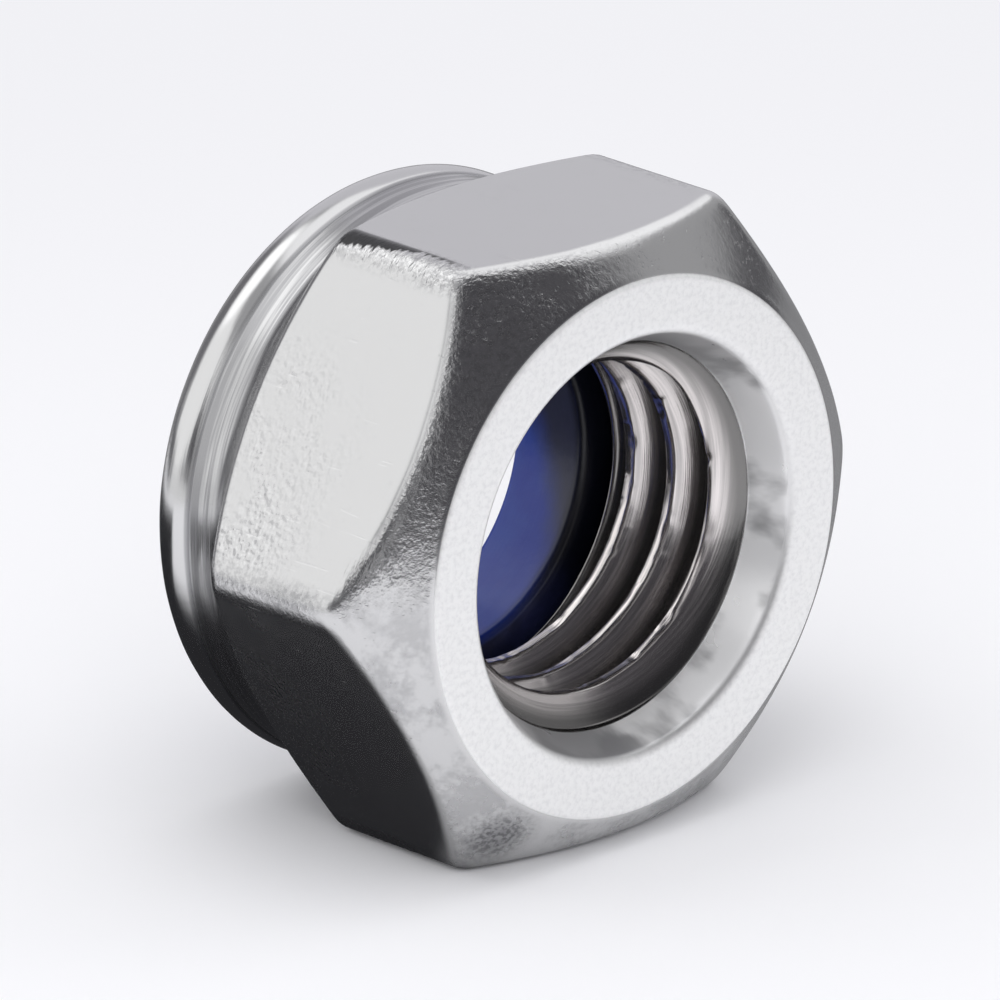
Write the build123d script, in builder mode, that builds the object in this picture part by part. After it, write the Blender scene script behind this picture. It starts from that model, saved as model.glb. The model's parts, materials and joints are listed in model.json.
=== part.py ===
from build123d import *
from build123d.topology import SkipClean
import os
from math import ceil, cos, radians, sin, sqrt, tan

# A prevailing torque nut: a hexagon body with a rolled collar that holds a locking ring.
# Millimetres. The thread axis is Y, the bearing face lies on y = 0 and the collar points to +Y.
# The nut stands on one of its hexagon flats, so +Z is up and two flats face up and down.
# Heights are distances from the bearing face along the axis.

# Thread, right-handed, 60 degree form
thread_diameter = 12.0
thread_pitch = 1.75
root_clearance = 0.03
boring_allowance = 0.15
groove_start_height = 0.6
groove_overreach = 0.2

# Mouth of the bore in the bearing face: rounded edge, steep entry cone, short lead-in cone
mouth_overhang = 0.6
mouth_edge_radius = 0.4
entry_depth = 1.45
entry_half_angle = 22.5
lead_in_half_angle = 60.0

# Hexagon and its two end chamfers, whose angles are measured from the bearing face
across_flats = 19.0
hexagon_corner_radius = 1.0
bearing_ring_width = 1.7
bottom_chamfer_angle = 38.0
top_chamfer_angle = 33.0
flat_top_height = 8.05

# Collar: a neck just inside the flats, with a lip that bulges out and is rolled in over the ring
neck_inset = 0.375
neck_fillet_radius = 1.1
lip_inset = 0.25
lip_roll_radius = 1.25
lip_height = 1.15
lip_reach = 0.95
lip_nose_height = 0.35

# Pocket in the collar: its floor is a little below the top of the flats
seat_drop = 0.55
seat_width = 0.85
run_out_depth = 1.3

# Locking ring in the pocket
insert_thickness = 3.0
insert_width = 2.1
insert_bore_allowance = 0.1
insert_edge_radius = 0.25
insert_side_clearance = 0.05
insert_top_clearance = 0.05

# Worked out from the sizes above: the thread and the mouth
triangle_height = thread_pitch * cos(radians(30))
minor_radius = thread_diameter / 2 - 5 / 8 * triangle_height
pilot_radius = minor_radius - boring_allowance
groove_depth = thread_diameter / 2 + root_clearance - minor_radius
groove_root_half_width = thread_pitch / 16
groove_mouth_half_width = groove_root_half_width + (groove_depth + groove_overreach) * tan(radians(30))
mouth_radius = thread_diameter / 2 + mouth_overhang
entry_end_radius = mouth_radius - entry_depth * tan(radians(entry_half_angle))
lead_in_length = (entry_end_radius - pilot_radius) / tan(radians(lead_in_half_angle))

# Worked out: the outside of the body
corner_reach = across_flats / 2 / cos(radians(30))
bearing_face_radius = mouth_radius + bearing_ring_width
bottom_chamfer_height = (corner_reach - bearing_face_radius) * tan(radians(bottom_chamfer_angle))
top_chamfer_drop = (corner_reach - across_flats / 2) * tan(radians(top_chamfer_angle))
neck_radius = across_flats / 2 - neck_inset
neck_base_height = flat_top_height + neck_inset * tan(radians(top_chamfer_angle))

# Worked out: the ring round the bore, and its pocket, with a cone below where the thread runs out
insert_bore_radius = minor_radius + insert_bore_allowance
insert_radius = insert_bore_radius + insert_width
pocket_radius = insert_radius + insert_side_clearance
seat_height = flat_top_height - seat_drop
seat_inner_radius = pocket_radius - seat_width
run_out_slope = run_out_depth / (seat_inner_radius - minor_radius)
run_out_length = (seat_inner_radius - pilot_radius) * run_out_slope
groove_turns = ceil((seat_height + groove_root_half_width - groove_start_height) / thread_pitch)

# Worked out: the lip, a quarter round outside that runs in over the ring
lip_underside_height = seat_height + insert_thickness + insert_top_clearance
nut_height = lip_underside_height + lip_height
lip_opening_radius = pocket_radius - lip_reach
crown_radius = across_flats / 2 - lip_inset - lip_roll_radius
roll_centre_height = nut_height - lip_roll_radius
neck_top_height = roll_centre_height - sqrt(lip_roll_radius**2 - (neck_radius - crown_radius) ** 2)
roll_middle = (
    crown_radius + lip_roll_radius * cos(radians(45)),
    roll_centre_height + lip_roll_radius * sin(radians(45)),
)

os.makedirs("parts", exist_ok=True)

# A quarter of the bore at the thread's minor diameter
with BuildPart(Plane.XZ) as bore_quarter:
    Cylinder(minor_radius, seat_height, arc_size=90, align=(Align.NONE, Align.NONE, Align.MAX))

# One turn of the thread groove, whose section lies in a plane through the axis
with BuildPart() as groove_turn:
    with BuildLine() as groove_path:
        helix = Helix(thread_pitch, thread_pitch, minor_radius, (0, groove_start_height, 0), (0, 1, 0))
    outward = Vector((helix @ 0).X, 0, (helix @ 0).Z).normalized()
    with BuildSketch(Plane(helix @ 0, x_dir=outward, z_dir=outward.cross(Vector(0, 1, 0)))):
        with BuildLine():
            Polyline(
                (-groove_overreach, -groove_mouth_half_width),
                (groove_depth, -groove_root_half_width),
                (groove_depth, groove_root_half_width),
                (-groove_overreach, groove_mouth_half_width),
                close=True,
            )
        make_face()
    sweep(path=groove_path.wires()[0], is_frenet=True)

# The steel body, forged, bored and rolled from one piece
with BuildPart() as nut_body:
    # The section is turned about the thread axis: x is the radius and y the height
    with BuildSketch(Plane.XY) as section:
        with BuildLine():
            outside = Polyline(
                (mouth_radius, 0),
                (bearing_face_radius, 0),
                (corner_reach, bottom_chamfer_height),
                (corner_reach, flat_top_height - top_chamfer_drop),
                (neck_radius, neck_base_height),
                (neck_radius, neck_top_height),
            )
            roll = ThreePointArc(outside @ 1, roll_middle, (crown_radius, nut_height))
            crown = TangentArc(
                roll @ 1,
                (lip_opening_radius, lip_underside_height + lip_nose_height),
                tangent=(-1, 0),
            )
            Polyline(
                crown @ 1,
                (lip_opening_radius, lip_underside_height),
                (pocket_radius, lip_underside_height),
                (pocket_radius, seat_height),
                (seat_inner_radius, seat_height),
                (pilot_radius, seat_height - run_out_length),
                (pilot_radius, entry_depth + lead_in_length),
                (entry_end_radius, entry_depth),
                (mouth_radius, 0),
            )
        make_face()
        mouth_corner = section.vertices().sort_by_distance((mouth_radius, 0))[0]
        fillet(mouth_corner, mouth_edge_radius)
        neck_corner = section.vertices().sort_by_distance((neck_radius, neck_base_height))[0]
        fillet(neck_corner, neck_fillet_radius)
    revolve(axis=Axis.Y)

    # Six flats, with two of them level
    with BuildSketch(Plane.XZ) as hexagon:
        RegularPolygon(across_flats / 2, 6, major_radius=False)
        fillet(hexagon.vertices(), hexagon_corner_radius)
    extrude(amount=-nut_height, mode=Mode.INTERSECT)

    # The pilot hole is opened to the minor diameter and the groove is cut turn by turn, from the open
    # mouth to the open pocket. The quarter walls aren't joined, so that each crest face stays short.
    with SkipClean():
        with Locations(*[Location((0, 0, 0), (0, 90 * quarter, 0)) for quarter in range(4)]):
            add(bore_quarter.part, mode=Mode.SUBTRACT, clean=False)
        with Locations(*[(0, turn * thread_pitch, 0) for turn in range(groove_turns)]):
            add(groove_turn.part, mode=Mode.SUBTRACT, clean=False)

# The ring sits on the floor of the pocket, under the lip
with BuildPart() as nylon_insert:
    with BuildSketch(Plane.XZ.offset(-seat_height)):
        Circle(insert_radius)
        Circle(insert_bore_radius, mode=Mode.SUBTRACT)
    extrude(amount=-insert_thickness)
    fillet(nylon_insert.edges().filter_by(GeomType.CIRCLE), insert_edge_radius)

nut_body.part.label = "nut_body"
export_step(nut_body.part, "parts/nut_body.step")
nylon_insert.part.label = "nylon_insert"
export_step(nylon_insert.part, "parts/nylon_insert.step")
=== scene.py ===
import json
import math

import bmesh
import bpy
from mathutils import Matrix, Vector, noise

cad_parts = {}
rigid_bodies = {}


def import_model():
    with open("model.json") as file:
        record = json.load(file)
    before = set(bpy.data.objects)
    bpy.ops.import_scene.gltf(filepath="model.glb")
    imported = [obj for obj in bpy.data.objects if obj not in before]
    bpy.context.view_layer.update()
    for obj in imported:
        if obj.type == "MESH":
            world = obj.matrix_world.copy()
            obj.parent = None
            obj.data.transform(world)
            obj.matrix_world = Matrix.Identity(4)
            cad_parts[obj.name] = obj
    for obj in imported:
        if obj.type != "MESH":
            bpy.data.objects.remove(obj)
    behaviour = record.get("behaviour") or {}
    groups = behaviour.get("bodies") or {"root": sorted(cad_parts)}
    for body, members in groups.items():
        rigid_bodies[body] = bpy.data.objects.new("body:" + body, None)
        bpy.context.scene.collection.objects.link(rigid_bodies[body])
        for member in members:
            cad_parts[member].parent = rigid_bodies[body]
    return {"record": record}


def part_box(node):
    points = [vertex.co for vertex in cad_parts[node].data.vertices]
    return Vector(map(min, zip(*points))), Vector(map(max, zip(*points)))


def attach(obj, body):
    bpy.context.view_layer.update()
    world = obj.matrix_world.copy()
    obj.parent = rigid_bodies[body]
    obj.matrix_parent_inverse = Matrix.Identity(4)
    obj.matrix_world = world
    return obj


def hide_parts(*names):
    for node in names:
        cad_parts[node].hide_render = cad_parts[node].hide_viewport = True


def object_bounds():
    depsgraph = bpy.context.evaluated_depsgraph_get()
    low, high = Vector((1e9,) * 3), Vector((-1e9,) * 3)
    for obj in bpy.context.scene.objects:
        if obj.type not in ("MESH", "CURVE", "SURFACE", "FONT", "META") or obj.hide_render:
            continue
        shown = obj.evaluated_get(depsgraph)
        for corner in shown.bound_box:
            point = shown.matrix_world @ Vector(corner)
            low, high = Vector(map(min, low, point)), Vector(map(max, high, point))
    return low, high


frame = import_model()
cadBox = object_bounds()

# Pieces are drawn in millimetres, with the thread axis along Y and the bearing face at y = 0
metresPerMillimetre = 0.001
weldDistance = 0.0005
cutTolerance = 0.0001
mounts = {mount["name"]: mount for mount in frame["record"]["mounts"]}
nutBox = [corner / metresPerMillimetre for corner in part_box("nut_body")]
ringBox = [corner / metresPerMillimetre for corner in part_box("nylon_insert")]
print("frame read")


# Mesh helpers

class Pen:
    # Draws the wire of a section in the XY plane, where x is the radius and y the height
    def __init__(self, bm, radius, height):
        self.bm = bm
        self.tip = bm.verts.new((radius, height, 0))
        self.wire = [self.tip]

    def line(self, radius, height, pieces=1):
        start, end = self.tip.co.copy(), Vector((radius, height, 0))
        for number in range(pieces):
            grown = bmesh.ops.extrude_vert_indiv(self.bm, verts=[self.tip])
            self.tip = grown["verts"][0]
            self.tip.co = start.lerp(end, (number + 1) / pieces)
            self.wire += grown["verts"] + grown["edges"]

    def arc(self, centreRadius, centreHeight, degrees, steps):
        turned = bmesh.ops.spin(
            self.bm, geom=[self.tip], cent=(centreRadius, centreHeight, 0), axis=(0, 0, 1),
            dvec=(0, 0, 0), angle=math.radians(degrees), steps=steps, use_duplicate=False,
        )
        self.tip = [item for item in turned["geom_last"] if isinstance(item, bmesh.types.BMVert)][0]
        self.wire = list(self.bm.verts) + [edge for edge in self.bm.edges if not edge.link_faces]

    def turn(self, steps, rise=0.0):
        # One sixth is spun and then copied round, which is quicker than one long spin
        sixth = math.tau / 6
        bmesh.ops.spin(
            self.bm, geom=self.wire, cent=(0, 0, 0), axis=(0, 1, 0), dvec=(0, rise / steps, 0),
            angle=sixth, steps=steps // 6, use_duplicate=False,
        )
        first = list(self.bm.verts) + list(self.bm.edges) + list(self.bm.faces)
        for number in range(1, 6):
            copied = bmesh.ops.duplicate(self.bm, geom=first)["geom"]
            verts = [item for item in copied if isinstance(item, bmesh.types.BMVert)]
            turned = Matrix.Rotation(sixth * number, 3, "Y")
            bmesh.ops.rotate(self.bm, verts=verts, cent=(0, 0, 0), matrix=turned)
            bmesh.ops.translate(self.bm, verts=verts, vec=(0, rise * number / 6, 0))
        bmesh.ops.remove_doubles(self.bm, verts=self.bm.verts, dist=weldDistance)


def slope(degrees):
    return math.tan(math.radians(degrees))


def smoothLeast(first, second, width):
    # The smaller of two radii, with the edge between them rounded over the width
    overlap = max(width - abs(first - second), 0) / width
    return min(first, second) - overlap * overlap * width / 4


def smoothMost(first, second, width):
    return -smoothLeast(-first, -second, width)


def radiusOf(vert):
    return math.hypot(vert.co.x, vert.co.z)


def setRadius(vert, radius):
    scale = radius / radiusOf(vert)
    vert.co.x *= scale
    vert.co.z *= scale


def ripple(place, size, seed):
    # Smooth noise from about -1 to 1 whose lumps are as wide as the size
    return noise.noise(place / size + Vector((seed, seed, seed)))


def finishPiece(bm, name, node, material):
    bmesh.ops.triangulate(bm, faces=[face for face in bm.faces if len(face.verts) > 4])
    bmesh.ops.recalc_face_normals(bm, faces=bm.faces)
    bmesh.ops.scale(bm, vec=(metresPerMillimetre,) * 3, verts=bm.verts)
    mesh = bpy.data.meshes.new(name)
    bm.to_mesh(mesh)
    bm.free()
    mesh.shade_smooth()
    mesh.materials.append(material)
    piece = bpy.data.objects.new(name, mesh)
    bpy.context.scene.collection.objects.link(piece)
    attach(piece, "root")
    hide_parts(node)
    emptyFaces = sum(1 for polygon in mesh.polygons if polygon.area <= 0)
    print(name, len(mesh.polygons), "faces,", emptyFaces, "without area")


# Material helpers

class Value:
    # A node's output that can be used in plain sums
    def __init__(self, recipe, socket):
        self.recipe = recipe
        self.socket = socket

    def __add__(self, other):
        return self.recipe.maths("ADD", self, other)

    def __radd__(self, other):
        return self.recipe.maths("ADD", other, self)

    def __sub__(self, other):
        return self.recipe.maths("SUBTRACT", self, other)

    def __rsub__(self, other):
        return self.recipe.maths("SUBTRACT", other, self)

    def __mul__(self, other):
        return self.recipe.maths("MULTIPLY", self, other)

    def __rmul__(self, other):
        return self.recipe.maths("MULTIPLY", other, self)

    def __truediv__(self, other):
        return self.recipe.maths("DIVIDE", self, other)

    def __rtruediv__(self, other):
        return self.recipe.maths("DIVIDE", other, self)

    def __abs__(self):
        return self.recipe.maths("ABSOLUTE", self)


class Recipe:
    # The nodes of one material or of the world
    def __init__(self, owner):
        owner.use_nodes = True
        self.tree = owner.node_tree
        self.tree.nodes.clear()

    def node(self, kind, settings=None, sockets=None, output=0):
        made = self.tree.nodes.new(kind)
        for name, value in (settings or {}).items():
            setattr(made, name, value)
        for name, value in (sockets or {}).items():
            if isinstance(value, Value):
                self.tree.links.new(value.socket, made.inputs[name])
            else:
                made.inputs[name].default_value = value
        return Value(self, made.outputs[output]) if made.outputs else made

    def maths(self, operation, first, second=0.0):
        return self.node("ShaderNodeMath", {"operation": operation}, {0: first, 1: second})

    def length(self, first, second):
        return self.maths("SQRT", first * first + second * second)

    def fade(self, value, start, end):
        # 0 at the start and 1 at the end, with a soft change between
        sockets = {"Value": value, "From Min": start, "From Max": end}
        return self.node("ShaderNodeMapRange", {"interpolation_type": "SMOOTHSTEP"}, sockets)

    def noise(self, place, scale, detail=2.0, roughness=0.5):
        sockets = {"Vector": place, "Scale": scale, "Detail": detail, "Roughness": roughness}
        return self.node("ShaderNodeTexNoise", {}, sockets)

    def vector(self, x, y, z):
        return self.node("ShaderNodeCombineXYZ", {}, {"X": x, "Y": y, "Z": z})

    def mixColour(self, factor, first, second):
        sockets = {0: factor, 6: first, 7: second}
        return self.node("ShaderNodeMix", {"data_type": "RGBA"}, sockets, 2)

    def mixVector(self, factor, first, second):
        sockets = {0: factor, 4: first, 5: second}
        return self.node("ShaderNodeMix", {"data_type": "VECTOR"}, sockets, 1)

    def near(self, place, point, whole, gone):
        # 1 up to one distance from a point and 0 past the other
        sockets = {0: place, 1: point}
        away = self.node("ShaderNodeVectorMath", {"operation": "DISTANCE"}, sockets, "Value")
        return self.fade(away, gone, whole)

    def place(self):
        # The shaded point in millimetres, and its three parts
        place = self.node("ShaderNodeTexCoord", output="Object")
        sockets = {0: place, "Scale": 1 / metresPerMillimetre}
        place = self.node("ShaderNodeVectorMath", {"operation": "SCALE"}, sockets)
        parts = [self.node("ShaderNodeSeparateXYZ", {}, {0: place}, axis) for axis in range(3)]
        return place, *parts

    def bump(self, height):
        # The height is in millimetres
        return self.node("ShaderNodeBump", {}, {"Height": height, "Distance": metresPerMillimetre})


class Spot:
    # The shaded point of a turned piece: its place, its radius from the thread axis and its direction
    # from there, to the side and up
    def __init__(self, recipe):
        self.place, self.x, self.y, self.z = recipe.place()
        self.radius = recipe.length(self.x, self.z)
        self.side = self.x / self.radius
        self.up = self.z / self.radius


def blend(layers, amounts):
    # The sum of the named layers, each times its amount
    return sum(amount * layers[name] for name, amount in amounts.items())


# Steel body

nut = {
    "turnSteps": 396,  # a whole number of sixths
    "flatWidth": nutBox[1].z - nutBox[0].z,
    "height": nutBox[1].y,
    "minorRadius": mounts["thread"]["dims"]["r_mm"],
    "threadDiameter": 12.0,
    "threadPitch": 1.75,
    "threadAngle": 30.0,  # of each side of the groove
    "rootClearance": 0.03,
    "grooveHeight": 0.6,  # of the groove's start, straight above the axis
    "threadTurns": 5,  # of the wall before its two ends are cut
    "threadWall": (1.3, 7.2),  # heights of the cut ends, on the two cones
    "joinHeight": 0.1,  # of the strips that join the wall to the outside
    "rootFlat": 0.6,  # share of the root's width that is flat, and the same of the crest
    "crestFlat": 0.75,
    "rootEase": 0.06,  # how far the corners of root and crest are taken off
    "crestEase": 0.05,
    "easeHeight": 0.02,
    "mouthRadius": 6.6,
    "mouthEdge": 0.4,
    "entryDepth": 1.45,
    "entryAngle": 22.5,
    "leadInAngle": 60.0,
    "ringWidth": 1.7,
    "ringEdge": 0.22,
    "cornerEdge": 1.0,
    "chamferOvershoot": 0.6,  # of the turned wall past the hexagon's corners
    "bottomAngle": 38.0,
    "topAngle": 33.0,
    "flatTop": 8.05,
    "neckInset": 0.375,
    "neckFillet": 1.1,
    "lipInset": 0.25,
    "lipRoll": 1.25,
    "lipReach": 0.95,
    "lipUnderside": 10.55,
    "noseHeight": 0.35,
    "noseEdge": 0.08,
    "seatHeight": ringBox[0].y,
    "pocketRadius": ringBox[1].x + 0.05,  # the ring's and its clearance
    "seatWidth": 0.85,
    "runOutDepth": 1.3,
    "edgeBlend": 0.5,  # width over which the chamfers round off into the flats
    "boreEdgeBlend": 0.05,
    # How uneven the metal is, as heights in millimetres
    "flatWave": 0.012,
    "flatRipple": 0.004,
    "turnedWave": 0.010,
    "threadWave": 0.004,
    "burrHeight": 0.022,
    "chipDepth": 0.28,
    "crestDepth": 0.12,  # how far below the crest burrs and chips reach
    "burrs": ((1.3, 3, 1.0), (0.5, 5, 0.5)),  # size, seed and share
    "chips": ((1.5, 11, 0.38), (0.6, 13, 0.35)),  # size, seed and how rare
    "burrStretch": 4,  # how much shorter they are along the axis than round it
}

# Worked out from these sizes
entrySlope, leadInSlope = slope(nut["entryAngle"]), slope(nut["leadInAngle"])
entryEnd = nut["mouthRadius"] - nut["entryDepth"] * entrySlope
seatInner = nut["pocketRadius"] - nut["seatWidth"]
runOutSlope = (seatInner - nut["minorRadius"]) / nut["runOutDepth"]
neckRadius = nut["flatWidth"] / 2 - nut["neckInset"]
wallLow, wallHigh = nut["threadWall"]


def entryRadius(height):
    # The mouth's steep cone, then the short wide one that leads into the thread
    if height < nut["entryDepth"]:
        return nut["mouthRadius"] - height * entrySlope
    return entryEnd - (height - nut["entryDepth"]) * leadInSlope


def runOutRadius(height):
    return seatInner - (nut["seatHeight"] - height) * runOutSlope


def hexagonRadius(angle):
    # How far the rounded hexagon reaches at an angle from straight up, where it has a flat
    half, edge = nut["flatWidth"] / 2, nut["cornerEdge"]
    cornerTurn = math.pi / 6
    turn = abs((angle + cornerTurn) % (2 * cornerTurn) - cornerTurn)
    if turn < math.atan((half - edge) * math.tan(cornerTurn) / half):
        return half / math.cos(turn)
    centre = (half - edge) / math.cos(cornerTurn)
    off = cornerTurn - turn
    return centre * math.cos(off) + math.sqrt(edge**2 - (centre * math.sin(off)) ** 2)


def drawThread(bm):
    # One section of a long threaded wall, whose seam joins with a shift of one pitch
    pitch, crestRadius = nut["threadPitch"], nut["minorRadius"]
    rootRadius = nut["threadDiameter"] / 2 + nut["rootClearance"]
    rootHalf = pitch / 16  # half the width of the flat root
    crestHalf = pitch / 2 - rootHalf - (rootRadius - crestRadius) * slope(nut["threadAngle"])
    rootEdge = rootHalf * nut["rootFlat"]
    rootCorner = rootHalf + nut["easeHeight"]
    crestCorner = pitch / 2 - crestHalf - nut["easeHeight"]
    crestEdge = pitch / 2 - crestHalf * nut["crestFlat"]

    # The section lies a quarter turn on from the groove's start
    height = nut["grooveHeight"] + pitch / 4 - pitch
    pen = Pen(bm, rootRadius, height)
    for number in range(nut["threadTurns"]):
        pen.line(rootRadius, height + rootEdge)
        pen.line(rootRadius - nut["rootEase"], height + rootCorner)
        pen.line(crestRadius + nut["crestEase"], height + crestCorner, pieces=5)
        pen.line(crestRadius, height + crestEdge)
        height += pitch
        pen.line(crestRadius, height - crestEdge, pieces=2)
        pen.line(crestRadius + nut["crestEase"], height - crestCorner)
        pen.line(rootRadius - nut["rootEase"], height - rootCorner, pieces=5)
        pen.line(rootRadius, height - rootEdge)
        pen.line(rootRadius, height)
    pen.turn(nut["turnSteps"], pitch)


def makeThread(bm):
    drawThread(bm)
    for vert in bm.verts:
        radius = radiusOf(vert)
        crest = max(0.0, 1 - (radius - nut["minorRadius"]) / nut["crestDepth"])
        along = Vector((vert.co.x, vert.co.y * nut["burrStretch"], vert.co.z))
        burr = sum(share * ripple(along, size, seed) for size, seed, share in nut["burrs"])
        chip = sum(max(0.0, ripple(along, size, seed) - rarity) for size, seed, rarity in nut["chips"])
        radius += crest * (nut["burrHeight"] * burr + nut["chipDepth"] * chip)
        radius += nut["threadWave"] * ripple(along, size=2.0, seed=7)
        cone = max(entryRadius(vert.co.y), runOutRadius(vert.co.y))
        setRadius(vert, smoothMost(radius, cone, nut["boreEdgeBlend"]))

    # Square ends on the two cones, where the thread has run out
    for end, outward in ((wallLow, -1), (wallHigh, 1)):
        bmesh.ops.bisect_plane(
            bm, geom=list(bm.verts) + list(bm.edges) + list(bm.faces), dist=cutTolerance,
            plane_co=(0, end, 0), plane_no=(0, outward, 0), clear_outer=True,
        )
    loose = [vert for vert in bm.verts if not vert.link_faces]
    bmesh.ops.delete(bm, geom=loose, context="VERTS")


def drawCollar(pen):
    # Pocket and lip. The crown is an arc from the nose's top that is level where it meets the roll.
    openingRadius = nut["pocketRadius"] - nut["lipReach"]
    crownRadius = nut["flatWidth"] / 2 - nut["lipInset"] - nut["lipRoll"]
    noseTop = nut["lipUnderside"] + nut["noseHeight"]
    across, rise = crownRadius - openingRadius, nut["height"] - noseTop
    crownArc = (across * across + rise * rise) / (2 * rise)
    crownTurn = math.degrees(math.asin(across / crownArc))
    rollTurn = 90 + math.degrees(math.acos((neckRadius - crownRadius) / nut["lipRoll"]))

    pen.line(seatInner, nut["seatHeight"], pieces=2)
    pen.line(nut["pocketRadius"], nut["seatHeight"], pieces=3)
    pen.line(nut["pocketRadius"], nut["lipUnderside"], pieces=4)
    pen.line(openingRadius + nut["noseEdge"], nut["lipUnderside"], pieces=4)
    pen.arc(openingRadius + nut["noseEdge"], nut["lipUnderside"] + nut["noseEdge"], -90, steps=4)
    pen.line(openingRadius, noseTop, pieces=2)
    pen.arc(crownRadius, nut["height"] - crownArc, -crownTurn, steps=14)
    pen.arc(crownRadius, nut["height"] - nut["lipRoll"], -rollTurn, steps=20)


def drawHexagonBand(pen):
    # Neck with its fillet, then the two chamfers with room for the hexagon between them
    topSlope, bottomSlope = slope(nut["topAngle"]), slope(nut["bottomAngle"])
    neckBase = nut["flatTop"] + nut["neckInset"] * topSlope
    reach = nut["flatWidth"] / 2 / math.cos(math.pi / 6) + nut["chamferOvershoot"]
    ringRadius = nut["mouthRadius"] + nut["ringWidth"]
    filletTurn = 90 - nut["topAngle"]
    filletReach = nut["neckFillet"] * slope(filletTurn / 2)
    edgeReach = nut["ringEdge"] * slope(nut["bottomAngle"] / 2)
    edgeRadius = ringRadius + edgeReach * math.cos(math.radians(nut["bottomAngle"]))
    edgeHeight = edgeReach * math.sin(math.radians(nut["bottomAngle"]))

    pen.line(neckRadius, neckBase + filletReach, pieces=5)
    pen.arc(neckRadius + nut["neckFillet"], neckBase + filletReach, filletTurn, steps=10)
    pen.line(reach, neckBase - (reach - neckRadius) * topSlope, pieces=22)
    pen.line(reach, (reach - ringRadius) * bottomSlope, pieces=18)
    pen.line(edgeRadius, edgeHeight, pieces=32)
    pen.arc(ringRadius - edgeReach, nut["ringEdge"], -nut["bottomAngle"], steps=5)


def drawMouth(pen):
    # Bearing ring, rounded mouth and entry cone
    mouthTurn = 90 - nut["entryAngle"]
    mouthStart = nut["mouthRadius"] + nut["mouthEdge"] * slope(mouthTurn / 2)
    coneEnd = wallLow - nut["joinHeight"]
    pen.line(mouthStart, 0, pieces=12)
    pen.arc(mouthStart, nut["mouthEdge"], -mouthTurn, steps=8)
    pen.line(entryRadius(coneEnd), coneEnd, pieces=7)


def makeOutside(bm):
    # All but the thread as one turned wall, then the flats are cut from it
    wallStart = wallHigh + nut["joinHeight"]
    pen = Pen(bm, runOutRadius(wallStart), wallStart)
    drawCollar(pen)
    drawHexagonBand(pen)
    drawMouth(pen)
    pen.turn(nut["turnSteps"])
    for vert in bm.verts:
        radius = radiusOf(vert)
        if radius > neckRadius - nut["edgeBlend"]:
            flats = hexagonRadius(math.atan2(vert.co.x, vert.co.z))
            flats -= nut["flatWave"] * (1 + ripple(vert.co, size=2.6, seed=1))
            flats -= nut["flatRipple"] * (1 + ripple(vert.co, size=0.7, seed=2))
            radius -= nut["turnedWave"] * (1 + ripple(vert.co, size=1.8, seed=4))
            setRadius(vert, smoothLeast(radius, flats, nut["edgeBlend"]))


def makeNut(material):
    thread = bmesh.new()
    makeThread(thread)
    threadMesh = bpy.data.meshes.new("threadedWall")
    thread.to_mesh(threadMesh)
    thread.free()
    bm = bmesh.new()
    makeOutside(bm)
    bm.from_mesh(threadMesh)
    bpy.data.meshes.remove(threadMesh)

    # A strip closes the gap between the thread and the outside at each end
    gap = nut["joinHeight"]
    openEdges = [edge for edge in bm.edges if len(edge.link_faces) == 1]
    for low in (wallLow - gap, wallHigh):
        bottom, top = low - gap / 2, low + gap * 1.5
        near = [edge for edge in openEdges if bottom < edge.verts[0].co.y < top]
        bmesh.ops.bridge_loops(bm, edges=near)
    leftOpen = [edge for edge in bm.edges if len(edge.link_faces) != 2]
    print("open edges of the steel body:", len(leftOpen))
    finishPiece(bm, "steelBody", "nut_body", material)


# Nylon ring

ring = {
    "turnSteps": 240,
    "boreRadius": mounts["insert_bore"]["dims"]["r_mm"],
    "outerRadius": ringBox[1].x,
    "low": ringBox[0].y,
    "high": ringBox[1].y,
    "edge": 0.25,
    "wave": 0.006,  # how uneven the nylon is
}


def makeRing(material):
    bm = bmesh.new()
    edge = ring["edge"]
    inner, outer, low, high = ring["boreRadius"], ring["outerRadius"], ring["low"], ring["high"]
    pen = Pen(bm, inner, low + edge)
    pen.line(inner, high - edge, pieces=14)
    pen.arc(inner + edge, high - edge, -90, steps=6)
    pen.line(outer - edge, high, pieces=12)
    pen.arc(outer - edge, high - edge, -90, steps=3)
    pen.line(outer, low + edge, pieces=4)
    pen.arc(outer - edge, low + edge, -90, steps=3)
    pen.line(inner + edge, low, pieces=6)
    pen.arc(inner + edge, low + edge, -90, steps=6)
    pen.turn(ring["turnSteps"])
    for vert in bm.verts:
        setRadius(vert, radiusOf(vert) + ring["wave"] * (1 + ripple(vert.co, size=2.5, seed=6)))
    finishPiece(bm, "nylonRing", "nylon_insert", material)


# Look of the steel, built up of layers: masks of the body's parts, noises, wear, and painted highlights
# and painted shade

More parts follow.
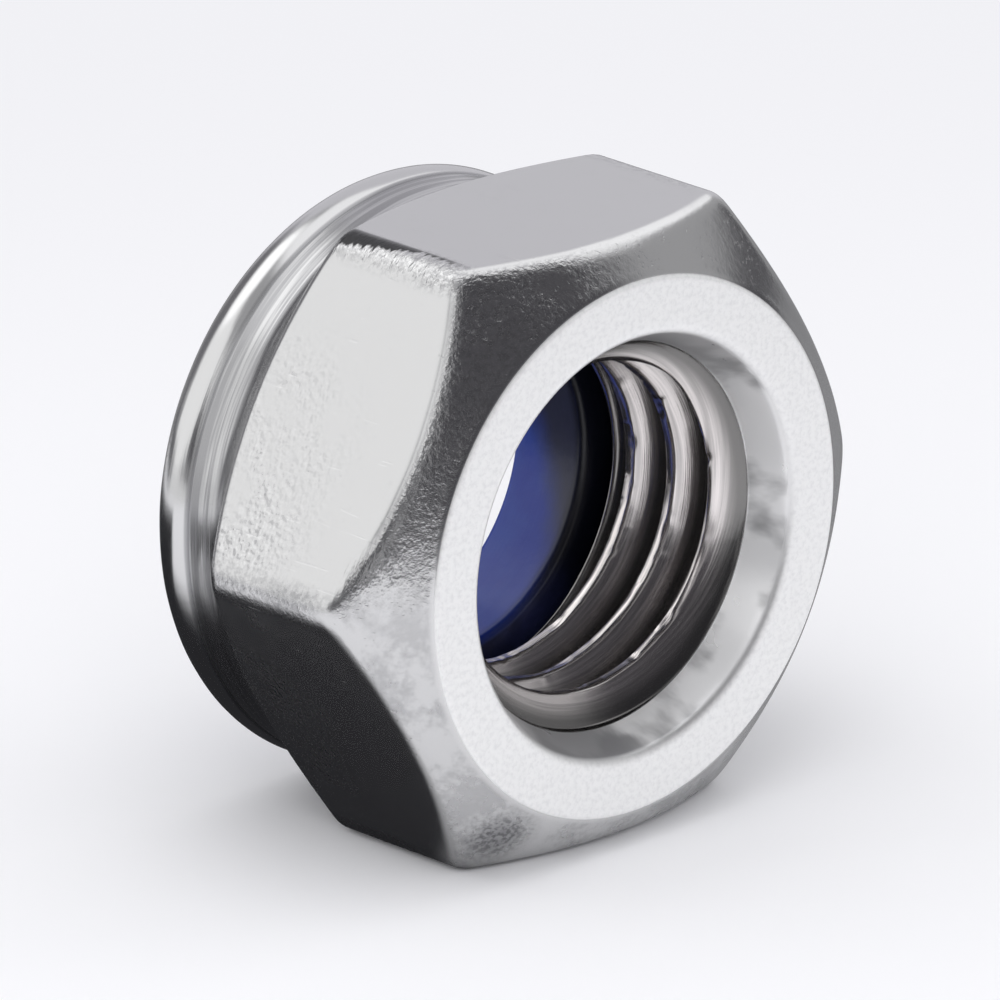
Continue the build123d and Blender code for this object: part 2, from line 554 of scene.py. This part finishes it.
steelLook = {
    "colour": (0.70, 0.70, 0.70, 1),
    "ringColour": (0.93, 0.93, 0.925, 1),
    "ringDimple": (0.84, 0.84, 0.84, 1),
    # painted highlight on the thread's crests
    "crestHighlightColour": (0.86, 0.815, 0.80, 1),
    # painted shade in the thread's roots
    "rootShadeColour": (0.23, 0.225, 0.22, 1),
    "entryColour": (0.92, 0.92, 0.92, 1),
    # of the entry's darker patches and of its painted shade
    "entryShade": (0.40, 0.40, 0.405, 1),
    # painted highlight on the lit side of the skin's lumps
    "lumpHighlightColour": (0.90, 0.90, 0.90, 1),
    # of wear, of the lower chamfer's darkening, and of painted shade in the groove, on the neck, on the
    # shaded side of the lumps and at the entry
    "wornAndShadedColour": (0.30, 0.30, 0.31, 1),
    "tornColour": (0.06, 0.06, 0.062, 1),
    # From where a layer is 0 to where it is 1
    "edges": {
        # Heights, radii and other distances in millimetres
        "flatFace": (9.36, 9.44),  # from the axis, square to the flat
        "flatSide": (10.75, 10.5),
        "innerRing": (7.6, 7.3),
        "innerRingFace": (0.28, 0.08),
        "outerRingFace": (0.10, 0.03),
        "mouthRim": (6.45, 6.75),
        "boreWall": (6.62, 6.5),
        "boreTop": (7.5, 7.4),
        "threadBottom": (1.34, 1.40),
        "crest": (5.85, 5.25),
        "outsideWall": (8.35, 8.6),
        "outsideBottom": (0.05, 0.2),
        "collar": (8.0, 8.4),
        "neckTop": (9.95, 9.85),
        "crown": (10.8, 11.45),
        "groove": (0.13, 0.04),  # from the groove's height
        "cornerWall": (10.5, 10.74),
        "cornerTop": (8.0, 7.5),
        "cornerBottom": (2.1, 3.2),
        "lowSide": (3.0, -2.0),
        "skinHeight": (2.0, 6.5),
        "skinTop": (8.5, 3.5),
        "roughTop": (5.0, 3.0),
        "roughSide": (1.0, -3.0),
        "roughBottom": (-1.0, 3.0),
        "tornCorner": (11.5, 13.0),
        "tornRise": (3.5, 7.0),
        "bandStart": (0.0, 0.14),
        "bandEnd": (0.62, 0.54),
        # Directions from the axis, from -1 to 1
        # where the entry gets painted shade, at its top and at its lower left
        "entryTop": (0.98, 0.55),
        "entryBottom": (-0.60, -0.90),
        "entryLeft": (0.15, -0.10),
        # Levels of the noises
        "patches": (0.32, 0.58),
        "roughPatches": (0.65, 0.45),
        "scratchedPatches": (0.45, 0.60),
        "scratches": (0.67, 0.73),
        "pits": (0.66, 0.72),
        "litSide": (0.04, 0.14),
        "shadedSide": (-0.04, -0.14),
        "hollows": (0.60, 0.36),
        "dimples": (0.30, 0.60),
        "stains": (0.78, 0.58),
        "neckMarks": (0.62, 0.42),
        "crestMarks": (0.35, 0.60),
        "entryTone": (0.40, 0.58),
    },
    # Scale per millimetre, detail and roughness of each noise
    "noises": {
        "broad": (0.38, 2.0),
        "peel": (1.2, 1.0),
        "pebbles": (3.4, 2.0, 0.6),
        "lumps": (4.6, 1.0),
        "grain": (6.0, 3.0, 0.6),
        "marks": (1.0, 3.0, 0.6),
        "scratches": (1.0, 1.0),
    },
    # Scale of the tool marks along and across their run
    "cornerRun": (1.3, 5.0),
    "collarRun": (1.2, 5.0),
    "threadRun": (0.9, 2.9),
    "entryRun": (0.6, 7.0),
    "scratchScale": (7.0, 0.5, 7.0),
    "scratchTurns": ((0.4, 0.9, 0.7), (1.2, 0.2, -0.6)),
    "lumpShift": (0.03, -0.05, 0.06),  # from the lit to the shaded side of a lump
    "fewPits": 0.15,  # how strong the pits are between the patches, and how much more in them
    "patchPits": 0.4,
    "scuff": {"point": (-4.9, 0.9, -8.1), "whole": 0.2, "gone": 1.6},
    "nicks": {"point": (-10.2, 1.0, 1.2), "whole": 0.7, "gone": 1.6},
    "grooveHeight": 9.9,  # of the painted shade line in the groove between the neck and the lip
    "tornBand": 0.40,  # where the torn corner's dark band starts beside the ridge
    "tornWidening": 0.65,  # how much wider the band is at the collar
    "tornRaggedness": 0.9,  # how far the tool marks move the band's edge
    "stainGrain": 0.4,  # how much the pebbles break up the stains
    "markTone": 0.3,  # how much the tool marks and the side change the entry's tone; the side's change is painted light, paler to the right and darker to the left
    "sideTone": 0.1,
    "entryDarkness": 0.85,  # of the painted shade at the entry's lower left
    # strength of the painted highlight on the lumps
    "lumpBrightness": 0.5,
    "scuffDarkness": 0.5,
    "crestLeast": 0.5,  # share of the crest's painted highlight between the marks
    # Heights of the bump in millimetres, of each noise on each part and of what is everywhere
    "noiseHeights": {
        "grain": {
            "all": 0.0008, "bearing": 0.008, "skin": 0.006, "chamfer": 0.003, "rough": 0.030,
            "scuffed": 0.020, "corner": 0.016, "crown": 0.006,
        },
        "marks": {
            "collarSkin": 0.012, "thread": 0.012, "entry": 0.006, "torn": 0.05, "nicked": 0.05,
        },
        "pebbles": {"bearing": 0.012, "skin": 0.005, "chamfer": 0.005},
    },
    "plainHeights": {"peel": 0.005, "pits": -0.010, "scratches": -0.004},
    # How dark each layer is made, in the hollows of the grain and all over. In the hollows it is wear;
    # all over it is wear on pits, scuffs, tool marks and stains, painted shade in the groove, on the
    # neck under the lip and on the shaded side of the lumps, and the lower chamfer is darker towards the
    # bottom
    "hollowWear": {"skin": 0.12, "rough": 0.5, "scuffed": 0.3, "corner": 0.3},
    "wearAndShade": {
        "pits": 0.3, "scuffed": 0.7, "groove": 0.7, "neck": 0.25, "neckMarks": 0.55,
        "lowChamfer": 0.10, "stains": 0.40, "shadedLumps": 0.5,
    },
    "roughness": {
        "all": 0.14, "peel": 0.05, "bearing": 0.27, "flat": 0.08, "chamfer": 0.05, "entry": 0.12,
        "thread": 0.04, "crown": 0.18, "wornAndShaded": 0.12, "ragged": 0.15,
    },
    "dullness": {"bearing": 0.6, "entry": 0.55},  # taken off the metallic value
}
steelEdges = steelLook["edges"]
cos30, sin30 = math.cos(math.radians(30)), math.sin(math.radians(30))


def steelParts(recipe, spot):
    # Where each part of the body lies
    fade, edge = recipe.fade, steelEdges
    slantedFlat = abs(cos30 * spot.x) + abs(sin30 * spot.z)
    flatDistance = recipe.maths("MAXIMUM", abs(spot.z), slantedFlat)
    flat = fade(flatDistance, *edge["flatFace"]) * fade(spot.radius, *edge["flatSide"])
    innerRing = fade(spot.radius, *edge["innerRing"])
    innerFace = fade(spot.radius, *edge["mouthRim"]) * fade(spot.y, *edge["innerRingFace"])
    outerFace = fade(spot.y, *edge["outerRingFace"])
    bore = fade(spot.radius, *edge["boreWall"]) * fade(spot.y, *edge["boreTop"])
    thread = bore * fade(spot.y, *edge["threadBottom"])
    outside = fade(spot.radius, *edge["outsideWall"]) * fade(spot.y, *edge["outsideBottom"])
    collar = fade(spot.y, *edge["collar"])
    chamfer = outside * (1 - flat) * (1 - collar)
    cornerHeights = fade(spot.y, *edge["cornerTop"]) * fade(spot.y, *edge["cornerBottom"])
    return {
        "all": 1,
        "flat": flat,
        "bearing": innerRing * innerFace + (1 - innerRing) * outerFace,
        "thread": thread,
        "entry": bore - thread,
        "outside": outside,
        "collar": collar,
        "neck": collar * fade(spot.y, *edge["neckTop"]),
        "crown": fade(spot.y, *edge["crown"]),
        "groove": fade(abs(spot.y - steelLook["grooveHeight"]), *edge["groove"]),
        "chamfer": chamfer,
        "lowChamfer": chamfer * fade(spot.z, *edge["lowSide"]),
        "corner": fade(spot.radius, *edge["cornerWall"]) * cornerHeights,
    }


def toolMarks(recipe, spot, layers):
    # Strokes over the corners, rings round the collar, lines along the helix of the thread and along
    # the axis in the entry
    helix = spot.y * (math.tau / nut["threadPitch"]) + recipe.maths("ARCTAN2", spot.z, spot.x)
    helixSide, helixUp = recipe.maths("COSINE", helix), recipe.maths("SINE", helix)
    along, across = steelLook["cornerRun"]
    run = recipe.vector(along * spot.x, across * spot.y, along * spot.z)
    along, across = steelLook["collarRun"]
    collarSide = along * spot.side + across * spot.radius
    collarRun = recipe.vector(collarSide, across * spot.y, along * spot.up)
    run = recipe.mixVector(layers["collar"], run, collarRun)
    along, across = steelLook["threadRun"]
    threadSide = across * helixSide + along * spot.side
    threadRun = recipe.vector(threadSide, across * helixUp, along * spot.up)
    run = recipe.mixVector(layers["thread"], run, threadRun)
    along, across = steelLook["entryRun"]
    entryRun = recipe.vector(across * spot.side, along * spot.y, across * spot.up)
    run = recipe.mixVector(layers["entry"], run, entryRun)
    return recipe.noise(run, *steelLook["noises"]["marks"])


def addSkin(recipe, spot, layers):
    # Orange peel, pits and an embossed skin on the flats, thickest towards the collar, whose lumps get a
    # painted highlight on one side and painted shade on the other
    fade, edge, noises = recipe.fade, steelEdges, steelLook["noises"]
    for name in ("broad", "grain", "peel", "pebbles"):
        layers[name] = recipe.noise(spot.place, *noises[name])
    patches = fade(layers["broad"], *edge["patches"])
    patches = patches * fade(spot.y, *edge["skinHeight"]) * fade(spot.z, *edge["skinTop"])
    layers["skin"] = layers["flat"] * patches
    layers["collarSkin"] = layers["collar"] * patches
    pitShare = steelLook["fewPits"] + steelLook["patchPits"] * patches
    layers["pits"] = fade(layers["pebbles"], *edge["pits"]) * pitShare * layers["flat"]

    # Painted highlight on a lump's lit side and painted shade on its shaded side, found from the noise a
    # little way off
    sockets = {0: spot.place, 1: steelLook["lumpShift"]}
    beside = recipe.node("ShaderNodeVectorMath", {"operation": "ADD"}, sockets)
    relief = recipe.noise(beside, *noises["lumps"]) - recipe.noise(spot.place, *noises["lumps"])
    layers["litLumps"] = layers["skin"] * patches * fade(relief, *edge["litSide"])
    layers["shadedLumps"] = layers["skin"] * patches * fade(relief, *edge["shadedSide"])


def addDamage(recipe, spot, layers):
    # Rough upper chamfer, long scratches, the scuffed spot and the nicks
    fade, edge = recipe.fade, steelEdges
    rough = fade(layers["broad"], *edge["roughPatches"]) * fade(spot.y, *edge["roughTop"])
    rough = rough * fade(spot.x, *edge["roughSide"]) * fade(spot.z, *edge["roughBottom"])
    layers["rough"] = rough * layers["chamfer"]
    lines = 0
    for turn in steelLook["scratchTurns"]:
        sockets = {0: spot.place, "Rotation": turn, "Scale": steelLook["scratchScale"]}
        run = recipe.node("ShaderNodeMapping", {}, sockets)
        lines += fade(recipe.noise(run, *steelLook["noises"]["scratches"]), *edge["scratches"])
    scratched = layers["outside"] * (1 - layers["collar"])
    scratched = scratched * fade(layers["peel"], *edge["scratchedPatches"])
    layers["scratches"] = lines * scratched
    layers["scuffed"] = recipe.near(spot.place, **steelLook["scuff"]) * layers["chamfer"]
    layers["nicked"] = recipe.near(spot.place, **steelLook["nicks"])

    # The torn corner: its ridge is dark, in a band that widens towards the collar, and below that
    # the metal is scored in short strokes
    layers["torn"] = layers["corner"] * fade(spot.z - spot.x, *edge["tornCorner"])
    pastRidge = cos30 * spot.x + sin30 * spot.z
    bandEdge = steelLook["tornBand"] - steelLook["tornWidening"] * fade(spot.y, *edge["tornRise"])
    raggedRidge = pastRidge + steelLook["tornRaggedness"] * (layers["marks"] - 0.5)
    band = fade(raggedRidge - bandEdge, *edge["bandStart"]) * fade(pastRidge, *edge["bandEnd"])
    layers["ragged"] = band * layers["torn"]


def addWearAndShade(recipe, layers):
    # Wear, tool marks and stains, and painted shade in the groove, on the neck and on the shaded side of
    # the lumps
    fade, edge = recipe.fade, steelEdges
    layers["hollows"] = fade(layers["grain"], *edge["hollows"])
    layers["neckMarks"] = layers["neck"] * fade(layers["marks"], *edge["neckMarks"])
    stained = layers["broad"] + steelLook["stainGrain"] * layers["pebbles"]
    layers["stains"] = layers["lowChamfer"] * fade(stained, *edge["stains"])
    inHollows = layers["hollows"] * blend(layers, steelLook["hollowWear"])
    layers["wornAndShaded"] = inHollows + blend(layers, steelLook["wearAndShade"])


def steelColour(recipe, spot, layers):
    fade, mix, edge, look = recipe.fade, recipe.mixColour, steelEdges, steelLook
    dimples = fade(layers["grain"], *edge["dimples"])
    colour = mix(layers["bearing"], look["colour"], mix(dimples, look["ringDimple"], look["ringColour"]))

    # The entry is pale with dark streaks and random darker patches. Painted shade darkens its top and
    # its lower left, and painted light makes its right side paler than its left
    streaks = look["markTone"] * (layers["marks"] - 0.5)
    tone = fade(layers["broad"] + streaks + look["sideTone"] * spot.side, *edge["entryTone"])
    tone = tone * fade(spot.up, *edge["entryTop"])
    dark = fade(spot.up, *edge["entryBottom"]) * fade(spot.side + streaks, *edge["entryLeft"])
    entry = mix(tone, look["entryShade"], look["entryColour"])
    entry = mix(look["entryDarkness"] * dark, entry, look["wornAndShadedColour"])
    colour = mix(layers["entry"], colour, entry)

    # Painted highlight on the thread's crests and painted shade in its roots, the highlight broken up by
    # the tool marks
    crestMarks = (1 - look["crestLeast"]) * fade(layers["marks"], *edge["crestMarks"])
    crest = fade(spot.radius, *edge["crest"]) * (look["crestLeast"] + crestMarks)
    colour = mix(layers["thread"], colour, mix(crest, look["rootShadeColour"], look["crestHighlightColour"]))

    # Painted highlight on the lit side of the skin's lumps
    colour = mix(look["lumpBrightness"] * layers["litLumps"], colour, look["lumpHighlightColour"])
    # Wear, and painted shade in the groove, on the neck and on the shaded side of the lumps; the lower
    # chamfer darker towards the bottom
    colour = mix(layers["wornAndShaded"], colour, look["wornAndShadedColour"])
    scuffed = look["scuffDarkness"] * layers["scuffed"] * layers["hollows"]
    return mix(layers["ragged"] + scuffed, colour, look["tornColour"])


def makeSteel():
    material = bpy.data.materials.new("brightStainless")
    recipe = Recipe(material)
    spot = Spot(recipe)
    layers = steelParts(recipe, spot)
    layers["marks"] = toolMarks(recipe, spot, layers)
    addSkin(recipe, spot, layers)
    addDamage(recipe, spot, layers)
    addWearAndShade(recipe, layers)
    height = blend(layers, steelLook["plainHeights"])
    for name, amounts in steelLook["noiseHeights"].items():
        height += layers[name] * blend(layers, amounts)
    shader = recipe.node("ShaderNodeBsdfPrincipled", {}, {
        "Base Color": steelColour(recipe, spot, layers),
        "Metallic": 1 - blend(layers, steelLook["dullness"]),
        "Roughness": blend(layers, steelLook["roughness"]),
        "Normal": recipe.bump(height),
    })
    recipe.node("ShaderNodeOutputMaterial", {}, {"Surface": shader})
    print("steel mixed:", len(recipe.tree.nodes), "nodes")
    return material


# Look of the nylon

nylonLook = {
    "colour": (0.012, 0.04, 0.34, 1),
    "paleColour": (0.020, 0.060, 0.37, 1),
    # painted shade of the inner wall
    "wallShadeColour": (0.030, 0.034, 0.072, 1),
    "faceColour": (0.050, 0.058, 0.190, 1),  # of the face that shows inside the lip
    "faceShade": (0.026, 0.030, 0.090, 1),
    "threadSideShadeColour": (0.004, 0.005, 0.012, 1),  # painted shade of the face on the thread's side
    # Scale and detail of each noise
    "clouds": (0.5, 3.0),
    "turning": (1.0, 2.0),
    "lumps": (2.5, 3.0),
    "turningRun": (1.5, 6.0),  # scale of the turning marks along and across their run
    # From where a mask is 0 to where it is 1
    "wall": (5.45, 5.25),  # radii from the face to the inner wall
    "threadSide": (7.98, 7.58),  # heights from the wall to the face on the thread's side
    "bottom": (-0.95, -0.55),  # directions, below which that face's painted shade is half as strong
    "paleClouds": (0.40, 0.65),
    "faceClouds": (0.35, 0.60),
    "wallShade": (-0.65, 0.0),
    "wallShadeHeight": 8.6,  # of the wall's middle, from which the painted shade grows downwards
    "wallShadeSlope": 0.45,  # how fast it does so for each millimetre
    "wallShadeClouds": 0.5,  # how much the clouds change the painted shade
    "lumpHeight": 0.010,
    "turningHeight": 0.005,
    "roughness": 0.24,
    "turningRoughness": 0.14,
}


def makeNylon():
    material = bpy.data.materials.new("blueNylon")
    recipe = Recipe(material)
    fade, mix, look = recipe.fade, recipe.mixColour, nylonLook
    spot = Spot(recipe)
    clouds = recipe.noise(spot.place, *look["clouds"])
    along, across = look["turningRun"]
    turningSide = recipe.vector(along * spot.side, across * (spot.y + spot.radius), along * spot.up)
    turning = recipe.noise(turningSide, *look["turning"])

    # Painted shade on the inner wall, strongest towards the thread and on its upper side
    shadeDepth = spot.up + look["wallShadeSlope"] * (look["wallShadeHeight"] - spot.y)
    wallShade = fade(shadeDepth + look["wallShadeClouds"] * (clouds - 0.5), *look["wallShade"])
    wall = mix(fade(clouds, *look["paleClouds"]), look["colour"], look["paleColour"])
    wall = mix(wallShade, wall, look["wallShadeColour"])
    face = mix(fade(clouds, *look["faceClouds"]), look["faceShade"], look["faceColour"])
    colour = mix(fade(spot.radius, *look["wall"]), face, wall)
    # Painted shade on the face on the thread's side, half as strong at the very bottom
    shade = fade(spot.y, *look["threadSide"]) * (0.5 + 0.5 * fade(spot.up, *look["bottom"]))
    colour = mix(shade, colour, look["threadSideShadeColour"])
    lumps = recipe.noise(spot.place, *look["lumps"])
    height = look["lumpHeight"] * lumps + look["turningHeight"] * turning
    shader = recipe.node("ShaderNodeBsdfPrincipled", {}, {
        "Base Color": colour,
        "Roughness": look["roughness"] + look["turningRoughness"] * turning,
        "Normal": recipe.bump(height),
    })
    recipe.node("ShaderNodeOutputMaterial", {}, {"Surface": shader})
    print("nylon mixed:", len(recipe.tree.nodes), "nodes")
    return material


# Floor and surroundings

studio = {
    "backdrop": (0.88, 0.88, 0.915, 1),
    "skyColour": (0.74, 0.74, 0.76, 1),
    "roomColour": (0.40, 0.40, 0.41, 1),  # what the steel mirrors between the screens
    "floorColour": (0.97, 0.97, 0.985, 1),
    "farFloor": (0.16, 0.16, 0.17, 1),  # what the steel mirrors of the floor further away
    "leftFloor": (0.80, 0.80, 0.81, 1),  # the same, on the left behind the nut
    "floorCard": (0.025, 0.025, 0.028, 1),  # a black card behind the nut, seen only in the steel
    "sideCard": (0.28, 0.28, 0.29, 1),  # its grey end at the right
    # On the floor, in millimetres
    "floorRadius": 500.0,
    "floorSides": 96,
    "litFloor": (25.0, 100.0),  # distances at which it starts to fade out and is gone
    "mirroredLitFloor": 30.0,  # how much further out it starts to fade in the steel
    "leftTurn": (-0.35, -0.60),  # sideways part of a direction, where the left floor starts
    "leftDepth": (0.0, 20.0),
    "cardLeft": (-22.0, -13.0),
    "cardSlant": 0.6,  # of a line behind the nut, past which the card also runs on to the left
    "cardSlantLine": (9.5, 11.5),
    "cardFront": (0.5, 3.5),
    "cardBack": (65.0, 45.0),
    "sideCardStart": (3.0, 9.0),
    "sideCardLength": 1000.0,  # how much further back the grey end runs
}

# What the steel mirrors: pale screens and black cards, each round a direction, with the angles
# at which it is whole and at which it has faded out, and its light
screens = [
    ("left screen", (-0.626, 0.670, 0.399), 22, 34, (1.04, 1.04, 1.045)),
    ("right screen", (0.659, 0.670, 0.342), 22, 34, (0.66, 0.652, 0.692)),
    ("rear screen", (-0.120, 0.690, 0.715), 13, 22, (1.50, 1.50, 1.51)),
    ("overhead screen", (0.300, 0.030, 0.950), 26, 36, (1.10, 1.10, 1.12)),
    ("high right screen", (0.740, 0.190, 0.640), 10, 17, (1.20, 1.20, 1.22)),
    ("front card", (0.050, -0.760, 0.650), 27, 44, (0.070, 0.068, 0.076)),
    ("low front card", (-0.370, -0.890, 0.260), 13, 24, (0.070, 0.068, 0.076)),
    ("left card", (-0.930, -0.200, 0.300), 14, 32, (0.060, 0.058, 0.066)),
    ("edge screen", (-0.815, -0.110, 0.570), 10, 18, (1.12, 1.12, 1.13)),
    ("low rear card", (0.050, 0.960, 0.220), 12, 25, (0.180, 0.176, 0.190)),
    ("right card", (0.992, -0.030, 0.090), 5, 13, (0.070, 0.068, 0.076)),
]


def floorLook():
    material = bpy.data.materials.new("paleFloor")
    recipe = Recipe(material)
    fade, mix = recipe.fade, recipe.mixColour
    x, y = recipe.place()[1:3]
    distance = recipe.length(x, y)
    mirrored = recipe.node("ShaderNodeLightPath", output="Is Glossy Ray")

    # Near the nut the floor takes light and shadow. Further out it glows: for the camera like the
    # backdrop, and in the steel darker, with a pale part on the left.
    litStart, litEnd = studio["litFloor"]
    away = fade(distance, litStart + studio["mirroredLitFloor"] * mirrored, litEnd)
    toLeft = fade(x / distance, *studio["leftTurn"]) * fade(y, *studio["leftDepth"])
    far = mix(toLeft, studio["farFloor"], studio["leftFloor"])
    far = mix(mirrored, studio["backdrop"], far)
    lit = recipe.node("ShaderNodeBsdfDiffuse", {}, {"Color": studio["floorColour"]})
    glow = recipe.node("ShaderNodeEmission", {}, {"Color": far})
    shader = recipe.node("ShaderNodeMixShader", {}, {0: away, 1: lit, 2: glow})

    # The card behind the nut, which only the steel mirrors
    toRight = fade(x, *studio["sideCardStart"])
    cardColour = mix(toRight, studio["floorCard"], studio["sideCard"])
    card = recipe.node("ShaderNodeEmission", {}, {"Color": cardColour})
    pastSlant = fade(y + studio["cardSlant"] * x, *studio["cardSlantLine"])
    onCard = recipe.maths("MAXIMUM", fade(x, *studio["cardLeft"]), pastSlant)
    onCard = mirrored * onCard * fade(y, *studio["cardFront"])
    onCard = onCard * fade(distance - studio["sideCardLength"] * toRight, *studio["cardBack"])
    shader = recipe.node("ShaderNodeMixShader", {}, {0: onCard, 1: shader, 2: card})
    recipe.node("ShaderNodeOutputMaterial", {}, {"Surface": shader})
    return material


def makeFloor():
    bm = bmesh.new()
    radius = studio["floorRadius"] * metresPerMillimetre
    bmesh.ops.create_circle(bm, cap_ends=True, segments=studio["floorSides"], radius=radius)
    bmesh.ops.translate(bm, vec=(0, 0, cadBox[0].z), verts=bm.verts)
    mesh = bpy.data.meshes.new("studioFloor")
    bm.to_mesh(mesh)
    bm.free()
    mesh.materials.append(floorLook())
    floor = bpy.data.objects.new("studioFloor", mesh)
    bpy.context.scene.collection.objects.link(floor)
    print("floor laid")


def makeWorld():
    world = bpy.data.worlds.new("paleStudio")
    bpy.context.scene.world = world
    recipe = Recipe(world)
    seen = recipe.node("ShaderNodeLightPath", output="Is Camera Ray")
    mirrored = recipe.node("ShaderNodeLightPath", output="Is Glossy Ray")
    direction = recipe.node("ShaderNodeTexCoord", output="Generated")
    room = studio["roomColour"]
    for name, towards, whole, gone, light in screens:
        sockets = {0: direction, 1: Vector(towards).normalized()}
        facing = recipe.node("ShaderNodeVectorMath", {"operation": "DOT_PRODUCT"}, sockets, "Value")
        cover = recipe.fade(facing, math.cos(math.radians(gone)), math.cos(math.radians(whole)))
        room = recipe.mixColour(cover, room, (*light, 1))
        print("hung", name)
    lit = recipe.mixColour(mirrored, studio["skyColour"], room)
    colour = recipe.mixColour(seen, lit, studio["backdrop"])
    background = recipe.node("ShaderNodeBackground", {}, {"Color": colour})
    recipe.node("ShaderNodeOutputWorld", {}, {"Surface": background})


# Lamps and camera: degrees round the nut and above the floor, and metres from its middle

lamps = {
    "leftPanel": {
        "azimuth": -137, "elevation": 24, "distance": 0.14, "size": (0.14, 0.12), "power": 0.024,
    },
    "rightPanel": {
        "azimuth": 70, "elevation": 30, "distance": 0.14, "size": (0.08, 0.12), "power": 0.02,
    },
    "topPanel": {
        "azimuth": -60, "elevation": 75, "distance": 0.14, "size": (0.10, 0.10), "power": 0.03,
    },
    "frontPanel": {
        "azimuth": -50, "elevation": 35, "distance": 0.20, "size": (0.12, 0.12), "power": 0.06,
    },
}
view = {
    "azimuth": -44.5, "elevation": 20.0, "distance": 0.5, "lens": 600.0, "sensorWidth": 36.0,
    "clipStart": 0.005,
}
aim = (cadBox[0] + cadBox[1]) / 2


def standRound(holder, azimuth, elevation, distance):
    # Places a lamp or the camera round the nut, facing it
    turn, rise = math.radians(azimuth), math.radians(elevation)
    side, front, up = math.sin(turn) * math.cos(rise), math.cos(turn) * math.cos(rise), math.sin(rise)
    back = Vector((side, -front, up))
    holder.location = aim + back * distance
    holder.rotation_euler = back.to_track_quat("Z", "Y").to_euler()
    bpy.context.scene.collection.objects.link(holder)


def makeLamp(name, azimuth, elevation, distance, size, power):
    lamp = bpy.data.lights.new(name, "AREA")
    lamp.shape = "RECTANGLE"
    lamp.size, lamp.size_y = size
    lamp.energy = power
    holder = bpy.data.objects.new(name, lamp)
    holder.visible_glossy = False  # the steel mirrors the screens instead
    standRound(holder, azimuth, elevation, distance)


def makeCamera():
    camera = bpy.data.cameras.new("camera")
    camera.lens = view["lens"]
    camera.sensor_width = view["sensorWidth"]
    camera.clip_start = view["clipStart"]
    holder = bpy.data.objects.new("camera", camera)
    standRound(holder, view["azimuth"], view["elevation"], view["distance"])
    bpy.context.scene.camera = holder


makeNut(makeSteel())
makeRing(makeNylon())
makeFloor()
makeWorld()
for name, lamp in lamps.items():
    makeLamp(name, **lamp)
makeCamera()
bpy.context.scene.view_settings.view_transform = "Standard"
print("lamps and camera set up")
